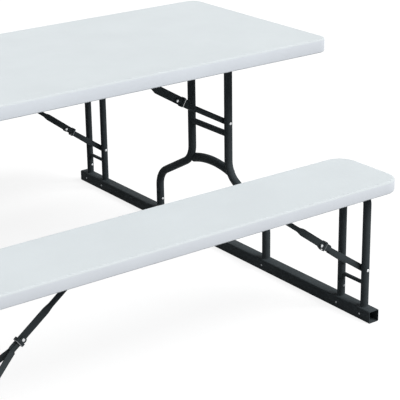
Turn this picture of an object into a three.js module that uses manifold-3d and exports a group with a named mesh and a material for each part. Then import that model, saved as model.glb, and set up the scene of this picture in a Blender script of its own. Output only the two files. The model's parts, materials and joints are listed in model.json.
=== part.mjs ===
// Folding table with two bench seats: moulded tops on steel leg frames that fold inward on knee braces,
// with all the legs of one end standing in the sockets of one square foot rail.
// Millimetres, +X along the table, +Y to the rear, +Z up, origin on the floor under the middle of the table.

import * as THREE from 'three';
import { mergeVertices } from 'three/addons/utils/BufferGeometryUtils.js';
import Module from 'manifold-3d';

const wasm = await Module();
wasm.setup();

// Driving dimensions of the moulded tops
const TABLE_LENGTH = 1645;
const TABLE_WIDTH = 700;
const TABLE_HEIGHT = 738;
const TABLE_THICKNESS = 42;
const TABLE_PANEL = 22;
const TABLE_CORNER = 38;
const TABLE_OVERHANG = 202;
const SEAT_OVERHANG = 62;
const SEAT_WIDTH = 258;
const SEAT_HEIGHT = 446;
const SEAT_THICKNESS = 36;
const SEAT_PANEL = 20;
const SEAT_CORNER = 58;
const EDGE_ROUND = 5;
const RIM_WIDTH = 20;
const SKIN = 3;
const VENT_RADIUS = 5;
const VENT_INSET = 90;

// Driving dimensions of the foot rails and their leg sockets
const RAIL_SIDE = 38;
const RAIL_WALL = 2;
const RAIL_LENGTH = 1590;
const RAIL_END = 42;
const SOCKET_HEIGHT = 57;
const SOCKET_WALL = 2.5;
const COLLAR_WIDTH = 2.5;
const COLLAR_HEIGHT = 6;
const BUTTON_HEIGHT = 34;
const BUTTON_RADIUS = 4;
const BUTTON_TIP_RADIUS = 2.4;
const BUTTON_DOME = 1.6;
const BUTTON_PROUD = 3;
const BUTTON_LENGTH = 9;

// Driving dimensions of the leg frames
const TABLE_TUBE_RADIUS = 13.4;
const TABLE_LEG_HALF = 99;
const TABLE_FOOT_HALF = 294;
const KNUCKLE_HEIGHT = 272;
const ANKLE_HEIGHT = 166;
const LEG_BEND_RADIUS = 74;
const TABLE_CROSSBAR_HEIGHT = 404;
const TABLE_CROSSBAR_RADIUS = 10;
const BENCH_TUBE_RADIUS = 12;
const BENCH_LEG_HALF = 51;
const HOOP_BEND_RADIUS = 30;
const BENCH_CROSSBAR_HEIGHT = 111;
const BENCH_CROSSBAR_RADIUS = 6;
const TUBE_WALL = 1.6;
const PIVOT_BAR_RADIUS = 10;
const PIVOT_BAR_END = 16;
const ARCH_HALF_DEEP = 12;
const ARCH_HALF_TALL = 15.5;
const ARCH_OUTWARD = 9;
const ARCH_HEIGHT = 286;
const ARCH_HALF = 116;
const ARCH_BOW_RADIUS = 350;

// Driving dimensions of the knee braces and what holds them
const TABLE_RIVET_HEIGHT = 443;
const TABLE_ANCHOR_REACH = 418;
const TABLE_FOLD_DROP = 28;
const TABLE_STRUT_TALL = 28;
const TABLE_STRUT_TAIL = 58;
const BENCH_RIVET_HEIGHT = 155;
const BENCH_ANCHOR_REACH = 336;
const BENCH_FOLD_DROP = 20;
const BENCH_STRUT_TALL = 22;
const BENCH_STRUT_TAIL = 42;
const ANCHOR_DROP = 17.5;
const STRUT_RADIUS = 7.25;
const STRUT_WALL = 1.5;
const STRUT_THIN = 5;
const STRUT_HEAD = 9;
const STRUT_BEHIND_KNEE = 88;
const STRUT_TAPER = 26;
const STRUT_NOSE = 6;
const STRUT_NOSE_SHARE = 0.6;
const FLAT_POWER = 0.5;
const DRAIN_RADIUS = 2;
const TRUNNION_RADIUS = 4;
const TRUNNION_PROUD = 1.5;
const FORK_HEIGHT = 18.5;
const FORK_BAR = 3.5;
const FORK_LANDING = 16;
const STEM_LENGTH = 42;
const STEM_LOW = 4.2;
const KNEE_DROP = 4;
const KNEE_PIN_RADIUS = 3;
const KNEE_HEAD_RADIUS = 4.5;
const KNEE_HEAD_HEIGHT = 0.8;
const TABLE_RING_FROM_KNEE = 23;
const FRONT_RING_FROM_KNEE = 10;
const REAR_RING_FROM_KNEE = 31;
const RING_LENGTH = 10;
const RING_WALL = 1.6;
const SADDLE_WALL = 5;
const TABLE_SADDLE_WIDTH = 90;
const BENCH_SADDLE_WIDTH = 34;
const ANCHOR_CHEEK = 3;
const ANCHOR_PLATE = 1;
const ANCHOR_HALF_LENGTH = 16;

// Clearances
const TOUCH_GAP = 0.3;
const LEG_SEAT_GAP = 0.5;
const RUNNING_GAP = 0.4;
const SIDE_GAP = 0.5;
const RING_GAP = 0.4;

// Facets
const ROUND_SEGMENTS = 12;
const SMALL_SEGMENTS = 10;
const BEND_STEPS = 4;
const CORNER_SEGMENTS = 3;
const EDGE_SEGMENTS = 3;
const ARCH_STEPS = 10;
const CUT_MARGIN = 1;
const WELD_DISTANCE = 1e-4;

// Places that follow from the driving dimensions
const LEG_PLANE = TABLE_LENGTH / 2 - TABLE_OVERHANG;
const SEAT_LENGTH = 2 * (LEG_PLANE + SEAT_OVERHANG);
// The rails run on past the outer legs of the benches by RAIL_END, so the benches keep to the rail ends.
const SEAT_OFFSET = RAIL_LENGTH / 2 - RAIL_END - BENCH_LEG_HALF;
const SOCKET_TOP = RAIL_SIDE + SOCKET_HEIGHT;
const STRUT_HALF = STRUT_THIN / 2;
const STEM_INNER = STRUT_HALF + TOUCH_GAP;
const STEM_OUTER = STEM_INNER + FORK_BAR;
const ROUND_ALLOWANCE = 1 / Math.cos(Math.PI / ROUND_SEGMENTS);

// Colours from the photograph
const MOULDED = { color: 0xdfe3e2, roughness: 0.55, metalness: 0 };
const POWDER_COAT = { color: 0x25292c, roughness: 0.45, metalness: 0.2 };
const ZINC = { color: 0xb4b8ba, roughness: 0.35, metalness: 0.9 };

// Solids and meshes
function solid(geometry) {
  geometry.deleteAttribute('normal');
  geometry.deleteAttribute('uv');
  const merged = mergeVertices(geometry, WELD_DISTANCE);
  const vertProperties = new Float32Array(merged.attributes.position.array);
  const triVerts = new Uint32Array(merged.index.array);
  return new wasm.Manifold(new wasm.Mesh({ numProp: 3, vertProperties, triVerts }));
}

function mesh(name, body, finish) {
  const { vertProperties, triVerts } = body.getMesh();
  const geometry = new THREE.BufferGeometry();
  geometry.setAttribute('position', new THREE.BufferAttribute(new Float32Array(vertProperties), 3));
  geometry.setIndex(new THREE.BufferAttribute(new Uint32Array(triVerts), 1));
  geometry.computeVertexNormals();
  const item = new THREE.Mesh(geometry, new THREE.MeshStandardMaterial(finish));
  item.name = name;
  return item;
}

function box(low, high) {
  const geometry = new THREE.BoxGeometry(high[0] - low[0], high[1] - low[1], high[2] - low[2]);
  geometry.translate((low[0] + high[0]) / 2, (low[1] + high[1]) / 2, (low[2] + high[2]) / 2);
  return solid(geometry);
}

// A round bar along X, from x = low to x = high, on the axis.
function barAlongX(radius, low, high, segments = ROUND_SEGMENTS) {
  const geometry = new THREE.CylinderGeometry(radius, radius, high - low, segments);
  geometry.rotateZ(Math.PI / 2);
  geometry.translate((low + high) / 2, 0, 0);
  return solid(geometry);
}

// A round bar along Y, from y = low to y = high, through the point (x, z).
function barAlongY(radius, low, high, x, z, segments = SMALL_SEGMENTS) {
  const geometry = new THREE.CylinderGeometry(radius, radius, high - low, segments);
  geometry.translate(x, (low + high) / 2, z);
  return solid(geometry);
}

// A round bar along Z, from z = low to z = high, through the point (x, y).
function barAlongZ(radius, low, high, x, y, segments = SMALL_SEGMENTS) {
  const geometry = new THREE.CylinderGeometry(radius, radius, high - low, segments);
  geometry.rotateX(Math.PI / 2);
  geometry.translate(x, y, (low + high) / 2);
  return solid(geometry);
}

// An outline in the XY plane, extruded from z = low to z = high.
function plate(points, low, high) {
  const shape = new THREE.Shape(points.map(([x, y]) => new THREE.Vector2(x, y)));
  const geometry = new THREE.ExtrudeGeometry(shape, { depth: high - low, bevelEnabled: false });
  geometry.translate(0, 0, low);
  return solid(geometry);
}

function roundedRectangle(length, width, radius) {
  const x = length / 2 - radius;
  const y = width / 2 - radius;
  const shape = new THREE.Shape();
  shape.absarc(x, y, radius, 0, Math.PI / 2);
  shape.absarc(-x, y, radius, Math.PI / 2, Math.PI);
  shape.absarc(-x, -y, radius, Math.PI, Math.PI * 1.5);
  shape.absarc(x, -y, radius, Math.PI * 1.5, Math.PI * 2);
  shape.closePath();
  return shape;
}

// A slab with rounded corners and softened edges, from z = low to z = high.
function slab(length, width, corner, low, high, edge) {
  const softened = edge > 0;
  const geometry = new THREE.ExtrudeGeometry(roundedRectangle(length, width, corner), {
    depth: high - low - 2 * edge,
    bevelEnabled: softened,
    bevelSize: edge,
    bevelOffset: -edge,
    bevelThickness: edge,
    bevelSegments: EDGE_SEGMENTS,
    curveSegments: CORNER_SEGMENTS,
  });
  geometry.translate(0, 0, low + edge);
  return solid(geometry);
}

// A path of straight runs and round bends that keeps one station at each end of a run and a few in each bend.
class StationPath extends THREE.Curve {
  constructor(points, bendRadius) {
    super();
    this.stations = StationPath.layOut(points, bendRadius);
  }

  static layOut(points, bendRadius) {
    const last = points.length - 1;
    const direction = (i) => points[i + 1].clone().sub(points[i]).normalize();
    const stations = [{ point: points[0], tangent: direction(0) }];
    for (let i = 1; i < last; i += 1) {
      const before = direction(i - 1);
      const after = direction(i);
      const turn = before.angleTo(after);
      const inward = after.clone().sub(before).normalize();
      const centre = points[i].clone().addScaledVector(inward, bendRadius / Math.cos(turn / 2));
      const start = points[i].clone().addScaledVector(before, -bendRadius * Math.tan(turn / 2));
      const axis = before.clone().cross(after).normalize();
      for (let step = 0; step <= BEND_STEPS; step += 1) {
        const angle = (turn * step) / BEND_STEPS;
        const arm = start.clone().sub(centre).applyAxisAngle(axis, angle);
        const tangent = before.clone().applyAxisAngle(axis, angle);
        stations.push({ point: centre.clone().add(arm), tangent });
      }
    }
    stations.push({ point: points[last], tangent: direction(last - 1) });
    return stations;
  }

  get steps() {
    return this.stations.length - 1;
  }

  station(t) {
    return this.stations[Math.round(t * this.steps)];
  }

  getPoint(t, target = new THREE.Vector3()) {
    return target.copy(this.station(t).point);
  }

  getPointAt(t, target) {
    return this.getPoint(t, target);
  }

  getTangentAt(t, target = new THREE.Vector3()) {
    return target.copy(this.station(t).tangent);
  }
}

// A bow in an upright plane across the table: an arc about the point (x, 0, z), even to both sides.
class ArcPath extends THREE.Curve {
  constructor(x, z, radius, halfAngle) {
    super();
    this.centre = new THREE.Vector3(x, 0, z);
    this.radius = radius;
    this.halfAngle = halfAngle;
    this.steps = ARCH_STEPS;
  }

  angle(t) {
    return this.halfAngle * (1 - 2 * t);
  }

  getPointAt(t, target = new THREE.Vector3()) {
    const a = this.angle(t);
    return target.set(0, -Math.sin(a), Math.cos(a)).multiplyScalar(this.radius).add(this.centre);
  }

  getTangentAt(t, target = new THREE.Vector3()) {
    const a = this.angle(t);
    return target.set(0, Math.cos(a), Math.sin(a));
  }
}

// A round or oval section, deep along X and tall across it. With a wall it is hollow, without one it is full.
function ovalSection(halfDeep, halfTall, wall = 0) {
  const section = new THREE.Shape();
  section.absellipse(0, 0, halfDeep, halfTall, 0, Math.PI * 2);
  if (wall > 0) {
    const bore = new THREE.Path();
    bore.absellipse(0, 0, halfDeep - wall, halfTall - wall, 0, Math.PI * 2);
    section.holes.push(bore);
  }
  return section;
}

// A section carried along a path. A hollow one stays open at both ends.
function sweep(path, section) {
  const options = {
    steps: path.steps,
    extrudePath: path,
    bevelEnabled: false,
    curveSegments: ROUND_SEGMENTS / 2,
  };
  return solid(new THREE.ExtrudeGeometry(section, options));
}

function pathThrough(points, bendRadius) {
  return new StationPath(points.map((p) => new THREE.Vector3(...p)), bendRadius);
}

function tube(points, bendRadius, radius, wall) {
  return sweep(pathThrough(points, bendRadius), ovalSection(radius, radius, wall));
}

// A bar along X through a row of sections, each with its place, its half width in Y and Z and its squareness.
// A power of 1 makes the section round or oval, and a smaller power makes it flat-sided.
function sectionBar(sections) {
  const last = sections.length - 1;
  const geometry = new THREE.CylinderGeometry(1, 1, 1, ROUND_SEGMENTS, last);
  const { position } = geometry.attributes;
  for (let i = 0; i < position.count; i += 1) {
    const section = sections[Math.round((0.5 - position.getY(i)) * last)];
    const bulge = (share) => Math.sign(share) * Math.abs(share) ** section.power;
    const y = section.halfY * bulge(position.getX(i));
    const z = section.halfZ * bulge(position.getZ(i));
    position.setXYZ(i, section.x, y, z);
  }
  return solid(geometry);
}

// Moulded top: a hollow double-walled panel inside a deeper rim, vented through its underside.
function mouldedTop({ length, width, height, thickness, panel, corner }) {
  const underside = height - panel;
  const inner = 2 * RIM_WIDTH;
  const innerCorner = corner - RIM_WIDTH;
  const recessBottom = height - thickness - CUT_MARGIN;
  let body = slab(length, width, corner, height - thickness, height, EDGE_ROUND);
  body = body.subtract(slab(length - inner, width - inner, innerCorner, recessBottom, underside, 0));
  body = body.subtract(slab(length - inner, width - inner, innerCorner, underside + SKIN, height - SKIN, 0));
  for (const side of [-1, 1]) {
    const x = side * (length / 2 - VENT_INSET);
    body = body.subtract(barAlongZ(VENT_RADIUS, underside - CUT_MARGIN, underside + SKIN + CUT_MARGIN, x, 0));
  }
  return body;
}

// The three units share one layout, so each is described by the sizes that differ.
const TABLE = {
  top: 'table_top',
  prefix: 'table',
  y: 0,
  length: TABLE_LENGTH,
  width: TABLE_WIDTH,
  height: TABLE_HEIGHT,
  thickness: TABLE_THICKNESS,
  panel: TABLE_PANEL,
  corner: TABLE_CORNER,
  tubeRadius: TABLE_TUBE_RADIUS,
  legHalf: TABLE_LEG_HALF,
  footHalf: TABLE_FOOT_HALF,
  pivotBarRadius: PIVOT_BAR_RADIUS,
  crossbarHeight: TABLE_CROSSBAR_HEIGHT,
  crossbarRadius: TABLE_CROSSBAR_RADIUS,
  rivetHeight: TABLE_RIVET_HEIGHT,
  anchorReach: TABLE_ANCHOR_REACH,
  foldDrop: TABLE_FOLD_DROP,
  strutTall: TABLE_STRUT_TALL,
  strutTail: TABLE_STRUT_TAIL,
  ringFromKnee: TABLE_RING_FROM_KNEE,
  saddleWidth: TABLE_SADDLE_WIDTH,
};

const BENCH = {
  length: SEAT_LENGTH,
  width: SEAT_WIDTH,
  height: SEAT_HEIGHT,
  thickness: SEAT_THICKNESS,
  panel: SEAT_PANEL,
  corner: SEAT_CORNER,
  tubeRadius: BENCH_TUBE_RADIUS,
  legHalf: BENCH_LEG_HALF,
  footHalf: BENCH_LEG_HALF,
  pivotBarRadius: BENCH_TUBE_RADIUS,
  crossbarHeight: BENCH_CROSSBAR_HEIGHT,
  crossbarRadius: BENCH_CROSSBAR_RADIUS,
  rivetHeight: BENCH_RIVET_HEIGHT,
  anchorReach: BENCH_ANCHOR_REACH,
  foldDrop: BENCH_FOLD_DROP,
  strutTall: BENCH_STRUT_TALL,
  strutTail: BENCH_STRUT_TAIL,
  saddleWidth: BENCH_SADDLE_WIDTH,
};

const FRONT_BENCH = {
  ...BENCH,
  top: 'front_bench_seat',
  prefix: 'front_bench',
  y: -SEAT_OFFSET,
  ringFromKnee: FRONT_RING_FROM_KNEE,
};
const REAR_BENCH = {
  ...BENCH,
  top: 'rear_bench_seat',
  prefix: 'rear_bench',
  y: SEAT_OFFSET,
  ringFromKnee: REAR_RING_FROM_KNEE,
};
const UNITS = [TABLE, FRONT_BENCH, REAR_BENCH];

const undersideOf = (unit) => unit.height - unit.panel;
const anchorOf = (unit) => undersideOf(unit) - ANCHOR_DROP;
const pivotOf = (unit) => anchorOf(unit) - unit.foldDrop;

// Foot rail: an open square tube with a round socket welded on under each leg.
function footRail() {
  const half = RAIL_SIDE / 2;
  const bore = half - RAIL_WALL;
  const end = RAIL_LENGTH / 2;
  const beyond = end + CUT_MARGIN;
  const inside = box([-bore, -beyond, RAIL_WALL], [bore, beyond, RAIL_SIDE - RAIL_WALL]);
  let body = box([-half, -end, 0], [half, end, RAIL_SIDE]).subtract(inside);
  for (const unit of UNITS) {
    for (const side of [-1, 1]) {
      const y = unit.y + side * unit.footHalf;
      const root = RAIL_SIDE - RAIL_WALL / 2;
      const socket = barAlongZ(unit.tubeRadius, root, SOCKET_TOP, 0, y, ROUND_SEGMENTS);
      const socketBore = unit.tubeRadius - SOCKET_WALL;
      const collar = unit.tubeRadius + COLLAR_WIDTH;
      body = body.add(socket);
      body = body.add(barAlongZ(collar, root, RAIL_SIDE + COLLAR_HEIGHT, 0, y, ROUND_SEGMENTS));
      body = body.subtract(barAlongZ(socketBore, RAIL_SIDE, SOCKET_TOP + CUT_MARGIN, 0, y, ROUND_SEGMENTS));
    }
    const faceY = unit.y + unit.footHalf - unit.tubeRadius;
    const holeRadius = BUTTON_RADIUS + RUNNING_GAP;
    const holeDepth = SOCKET_WALL + CUT_MARGIN;
    const holeHeight = RAIL_SIDE + BUTTON_HEIGHT;
    body = body.subtract(barAlongY(holeRadius, faceY - CUT_MARGIN, faceY + holeDepth, 0, holeHeight));
  }
  return body;
}

// Snap button: a domed pin in the wall of the socket that stands at the rear of each pair.
function snapButton(unit) {
  const face = unit.y + unit.footHalf - unit.tubeRadius;
  const profile = [
    [0, 0],
    [BUTTON_TIP_RADIUS, 0],
    [BUTTON_RADIUS, BUTTON_DOME],
    [BUTTON_RADIUS, BUTTON_LENGTH],
    [0, BUTTON_LENGTH],
  ];
  const geometry = new THREE.LatheGeometry(profile.map(([x, y]) => new THREE.Vector2(x, y)), SMALL_SEGMENTS);
  geometry.translate(0, face - BUTTON_PROUD, RAIL_SIDE + BUTTON_HEIGHT);
  return solid(geometry);
}

// Line of a table leg: straight down from the pivot bar, out along a slant and down again onto its socket.
function tableLegPath(side) {
  const top = pivotOf(TABLE) - PIVOT_BAR_RADIUS - TOUCH_GAP;
  const points = [
    [0, side * TABLE_LEG_HALF, top],
    [0, side * TABLE_LEG_HALF, KNUCKLE_HEIGHT],
    [0, side * TABLE_FOOT_HALF, ANKLE_HEIGHT],
    [0, side * TABLE_FOOT_HALF, SOCKET_TOP + LEG_SEAT_GAP],
  ];
  return pathThrough(points, LEG_BEND_RADIUS);
}

function tableLeg(side) {
  return sweep(tableLegPath(side), ovalSection(TABLE_TUBE_RADIUS, TABLE_TUBE_RADIUS, TUBE_WALL));
}

// Bench leg hoop: one tube bent into an upside-down U whose top run is the pivot.
function benchHoop(unit) {
  const low = SOCKET_TOP + LEG_SEAT_GAP;
  const high = pivotOf(unit);
  const points = [
    [0, unit.y - BENCH_LEG_HALF, low],
    [0, unit.y - BENCH_LEG_HALF, high],
    [0, unit.y + BENCH_LEG_HALF, high],
    [0, unit.y + BENCH_LEG_HALF, low],
  ];
  return tube(points, HOOP_BEND_RADIUS, BENCH_TUBE_RADIUS, TUBE_WALL);
}

// Crossbar: a tube between the two legs, its ends cut hollow to the legs that they are welded to.
function crossbar(unit) {
  const z = unit.crossbarHeight;
  const points = [
    [0, unit.y - unit.legHalf, z],
    [0, unit.y + unit.legHalf, z],
  ];
  const low = z - unit.crossbarRadius - CUT_MARGIN;
  const high = z + unit.crossbarRadius + CUT_MARGIN;
  const hollow = (unit.tubeRadius + TOUCH_GAP) * ROUND_ALLOWANCE;
  let body = tube(points, 0, unit.crossbarRadius, TUBE_WALL);
  for (const [x, y] of points) {
    body = body.subtract(barAlongZ(hollow, low, high, x, y, ROUND_SEGMENTS));
  }
  return body;
}

// Arch: an oval tube bowed across the outward sides of the legs' bends, cut hollow where it meets them.
function arch() {
  const reach = ARCH_HALF + ARCH_HALF_TALL;
  const bow = ARCH_BOW_RADIUS;
  const path = new ArcPath(ARCH_OUTWARD, ARCH_HEIGHT - bow, bow, Math.asin(reach / bow));
  const inner = ARCH_OUTWARD - ARCH_HALF_DEEP - CUT_MARGIN;
  const outer = ARCH_OUTWARD + ARCH_HALF_DEEP + CUT_MARGIN;
  const hollow = (TABLE_TUBE_RADIUS + TOUCH_GAP) * ROUND_ALLOWANCE;
  let body = sweep(path, ovalSection(ARCH_HALF_DEEP, ARCH_HALF_TALL, TUBE_WALL));
  body = body.intersect(box([inner, -ARCH_HALF, 0], [outer, ARCH_HALF, TABLE_HEIGHT]));
  for (const side of [-1, 1]) {
    body = body.subtract(sweep(tableLegPath(side), ovalSection(hollow, hollow)));
  }
  return body;
}

function pivotBar() {
  const half = TABLE_LEG_HALF + PIVOT_BAR_END;
  const z = pivotOf(TABLE);
  return tube([[0, -half, z], [0, half, z]], 0, PIVOT_BAR_RADIUS, TUBE_WALL);
}

// Pivot saddle: a block screwed to the underside of the top, with a bore for the pivot.
function pivotSaddle(unit) {
  const boreRadius = (unit.pivotBarRadius + RUNNING_GAP) * ROUND_ALLOWANCE;
  const outer = boreRadius + SADDLE_WALL;
  const z = pivotOf(unit);
  const low = unit.y - unit.saddleWidth / 2;
  const high = unit.y + unit.saddleWidth / 2;
  let body = barAlongY(outer, low, high, 0, z, ROUND_SEGMENTS);
  body = body.add(box([-outer, low, z], [outer, high, undersideOf(unit) - TOUCH_GAP]));
  return body.subtract(barAlongY(boreRadius, low - CUT_MARGIN, high + CUT_MARGIN, 0, z, ROUND_SEGMENTS));
}

// Layout of one knee brace: X runs down the brace from its anchor, Z is square to it, Y is across the table.
function braceLayout(unit) {
  const rise = anchorOf(unit) - unit.rivetHeight;
  const legArm = pivotOf(unit) - unit.rivetHeight;
  const span = Math.hypot(unit.anchorReach, rise);
  // Folded, the strut lies flat under the top and the leg rivets come to rest this far along it.
  const folded = unit.anchorReach - legArm;
  // The knee is as far from the rivets when the legs are folded as when they stand.
  const lowering = unit.foldDrop * (unit.foldDrop - 2 * KNEE_DROP);
  const upper = (span ** 2 - folded ** 2 - lowering) / (2 * (span - folded));
  return {
    upper,
    lower: Math.hypot(span - upper, KNEE_DROP),
    sag: Math.atan2(KNEE_DROP, span - upper),
    tilt: Math.atan2(rise, unit.anchorReach),
  };
}

// Brace strut: a tube pressed flat at its anchor and round the knee, with a drain hole on its underside.
function braceStrut(unit) {
  const { upper } = braceLayout(unit);
  const tall = unit.strutTall / 2;
  const end = upper + unit.strutTail;
  const flat = upper - STRUT_BEHIND_KNEE;
  const roundStart = STRUT_HEAD + STRUT_TAPER;
  const roundEnd = flat - STRUT_TAPER;
  const pressed = (x, halfZ) => ({ x, halfY: STRUT_HALF, halfZ, power: FLAT_POWER });
  const round = (x) => ({ x, halfY: STRUT_RADIUS, halfZ: STRUT_RADIUS, power: 1 });
  let body = sectionBar([
    pressed(-STRUT_HEAD, STRUT_HEAD),
    pressed(STRUT_HEAD, STRUT_HEAD),
    round(roundStart),
    round(roundEnd),
    pressed(flat, tall),
    pressed(end - STRUT_NOSE, tall),
    pressed(end, tall * STRUT_NOSE_SHARE),
  ]);
  body = body.subtract(barAlongX(STRUT_RADIUS - STRUT_WALL, roundStart, roundEnd));
  const drainX = (roundStart + roundEnd) / 2;
  body = body.subtract(barAlongZ(DRAIN_RADIUS, -STRUT_RADIUS - CUT_MARGIN, 0, drainX, 0));
  body = body.subtract(barAlongY(KNEE_PIN_RADIUS + RUNNING_GAP, -STRUT_THIN, STRUT_THIN, upper, -KNEE_DROP));
  const trunnion = STRUT_HALF + SIDE_GAP + ANCHOR_CHEEK + TRUNNION_PROUD;
  return body.add(barAlongY(TRUNNION_RADIUS, -trunnion, trunnion, 0, 0));
}

// Brace fork: two flat bars outside the strut, joined by the knee rivet, that part to the legs' inner faces.
// Beside the strut the bars are cut away below, so that they can start to turn while the lock ring slides
// off them. Here X runs from the knee to the leg rivets.
function braceFork(unit) {
  const { lower } = braceLayout(unit);
  const half = FORK_HEIGHT / 2;
  const outer = unit.legHalf - unit.tubeRadius - SIDE_GAP;
  const spreadEnd = lower - FORK_LANDING;
  const slant = Math.atan2(outer - STEM_OUTER, spreadEnd - STEM_LENGTH);
  const lag = FORK_BAR * Math.tan(slant / 2);
  const outline = [
    [0, STEM_OUTER],
    [STEM_LENGTH, STEM_OUTER],
    [spreadEnd, outer],
    [lower, outer],
    [lower, outer - FORK_BAR],
    [spreadEnd + lag, outer - FORK_BAR],
    [STEM_LENGTH + lag, STEM_INNER],
    [0, STEM_INNER],
  ];
  const head = STEM_OUTER + KNEE_HEAD_HEIGHT;
  let body = barAlongY(KNEE_PIN_RADIUS, -head, head, 0, 0);
  for (const side of [-1, 1]) {
    const span = (from, to) => [side * from, side * to].sort((a, b) => a - b);
    const bar = plate(outline.map(([x, y]) => [x, side * y]), -half, half);
    body = body.add(bar.subtract(box([-half, -outer, -half - CUT_MARGIN], [STEM_LENGTH, outer, -STEM_LOW])));
    body = body.add(barAlongY(half, ...span(STEM_INNER, STEM_OUTER), 0, 0, ROUND_SEGMENTS));
    body = body.add(barAlongY(half, ...span(outer - FORK_BAR, outer), lower, 0, ROUND_SEGMENTS));
    body = body.add(barAlongY(KNEE_HEAD_RADIUS, ...span(STEM_OUTER, head), 0, 0));
  }
  return body;
}

// Lock ring: a band that slides along the strut and holds the two bars of the fork beside it.
function lockRing(unit) {
  const centre = braceLayout(unit).upper + unit.ringFromKnee;
  const insideHalf = Math.max(STEM_OUTER + KNEE_HEAD_HEIGHT, STRUT_RADIUS) + RING_GAP;
  const insideTop = unit.strutTall / 2 + RING_GAP;
  const insideBottom = -Math.max(unit.strutTall / 2, KNEE_DROP + FORK_HEIGHT / 2) - RING_GAP;
  const low = centre - RING_LENGTH / 2;
  const high = centre + RING_LENGTH / 2;
  const outerHalf = insideHalf + RING_WALL;
  const band = box([low, -outerHalf, insideBottom - RING_WALL], [high, outerHalf, insideTop + RING_WALL]);
  const bore = box([low - CUT_MARGIN, -insideHalf, insideBottom], [high + CUT_MARGIN, insideHalf, insideTop]);
  return band.subtract(bore);
}

// Brace anchor: a bracket under the top whose two cheeks carry the strut's trunnion.
function braceAnchor(unit) {
  const inner = STRUT_HALF + SIDE_GAP;
  const outer = inner + ANCHOR_CHEEK;
  const x = -unit.anchorReach;
  const z = anchorOf(unit);
  const high = undersideOf(unit) - TOUCH_GAP;
  const low = z - TRUNNION_RADIUS - ANCHOR_CHEEK;
  const half = ANCHOR_HALF_LENGTH;
  const flange = outer + ANCHOR_HALF_LENGTH;
  let body = box([x - half, unit.y - flange, high - ANCHOR_PLATE], [x + half, unit.y + flange, high]);
  for (const side of [-1, 1]) {
    const [from, to] = [unit.y + side * inner, unit.y + side * outer].sort((a, b) => a - b);
    body = body.add(box([x - half / 2, from, low], [x + half / 2, to, high]));
  }
  const hole = TRUNNION_RADIUS + RUNNING_GAP;
  return body.subtract(barAlongY(hole, unit.y - outer - CUT_MARGIN, unit.y + outer + CUT_MARGIN, x, z));
}

// One knee brace, laid along the line from its anchor to the leg rivets.
function kneeBrace(unit, end) {
  const name = `${end}_${unit.prefix}`;
  const { upper, sag, tilt } = braceLayout(unit);
  const brace = new THREE.Group();
  brace.position.set(-unit.anchorReach, unit.y, anchorOf(unit));
  brace.rotation.y = tilt;
  const fork = mesh(`${name}_brace_fork`, braceFork(unit), POWDER_COAT);
  fork.position.set(upper, 0, -KNEE_DROP);
  fork.rotation.y = -sag;
  brace.add(mesh(`${name}_brace_strut`, braceStrut(unit), POWDER_COAT));
  brace.add(fork);
  brace.add(mesh(`${name}_lock_ring`, lockRing(unit), POWDER_COAT));
  return brace;
}

function tableFrame(end) {
  return [
    mesh(`${end}_table_front_leg`, tableLeg(-1), POWDER_COAT),
    mesh(`${end}_table_rear_leg`, tableLeg(1), POWDER_COAT),
    mesh(`${end}_table_arch`, arch(), POWDER_COAT),
    mesh(`${end}_table_pivot_bar`, pivotBar(), POWDER_COAT),
  ];
}

// Everything of one end of the table, in the plane of its legs. The left end is the right one mirrored.
function endFrame(end) {
  const frame = new THREE.Group();
  frame.add(mesh(`${end}_foot_rail`, footRail(), POWDER_COAT));
  frame.add(...tableFrame(end));
  for (const unit of UNITS) {
    const name = `${end}_${unit.prefix}`;
    if (unit !== TABLE) {
      frame.add(mesh(`${name}_leg_hoop`, benchHoop(unit), POWDER_COAT));
    }
    frame.add(mesh(`${name}_crossbar`, crossbar(unit), POWDER_COAT));
    frame.add(mesh(`${name}_pivot_saddle`, pivotSaddle(unit), POWDER_COAT));
    frame.add(mesh(`${name}_brace_anchor`, braceAnchor(unit), POWDER_COAT));
    frame.add(mesh(`${name}_snap_button`, snapButton(unit), ZINC));
    frame.add(kneeBrace(unit, end));
  }
  return frame;
}

const model = new THREE.Group();

for (const unit of UNITS) {
  const top = mesh(unit.top, mouldedTop(unit), MOULDED);
  top.position.y = unit.y;
  model.add(top);
}

const rightEnd = endFrame('right');
rightEnd.position.x = LEG_PLANE;
model.add(rightEnd);

const leftEnd = endFrame('left');
leftEnd.position.x = -LEG_PLANE;
leftEnd.scale.x = -1;
model.add(leftEnd);

export default model;
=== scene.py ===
"""Looks of the folding table with two benches: moulded tops, bent steel tubes, braces and fasteners."""

import json
import math

import bmesh
import bpy
from mathutils import Matrix, Vector
from mathutils.geometry import delaunay_2d_cdt


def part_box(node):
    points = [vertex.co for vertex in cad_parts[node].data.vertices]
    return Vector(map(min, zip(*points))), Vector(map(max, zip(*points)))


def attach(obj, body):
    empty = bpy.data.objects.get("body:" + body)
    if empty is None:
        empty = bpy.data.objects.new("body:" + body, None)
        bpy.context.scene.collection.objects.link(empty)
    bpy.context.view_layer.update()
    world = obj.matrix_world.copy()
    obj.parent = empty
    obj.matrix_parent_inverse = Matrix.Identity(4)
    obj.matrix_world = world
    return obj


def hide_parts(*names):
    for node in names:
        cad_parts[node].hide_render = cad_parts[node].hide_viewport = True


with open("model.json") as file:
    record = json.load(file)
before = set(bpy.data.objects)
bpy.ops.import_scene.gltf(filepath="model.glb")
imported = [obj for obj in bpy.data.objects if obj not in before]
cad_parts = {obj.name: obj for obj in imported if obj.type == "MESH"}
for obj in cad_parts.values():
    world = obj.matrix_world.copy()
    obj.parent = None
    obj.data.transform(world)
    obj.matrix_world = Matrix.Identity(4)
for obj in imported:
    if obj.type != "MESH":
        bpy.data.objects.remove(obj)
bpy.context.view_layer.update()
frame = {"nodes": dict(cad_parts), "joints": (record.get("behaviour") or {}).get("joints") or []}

# Moulded tops, in metres like every size here
TOP_EDGE = 0.005
RIM_EDGE = 0.004
RIM_WIDTH = 0.020
RECESS_FILLET = 0.004
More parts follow.
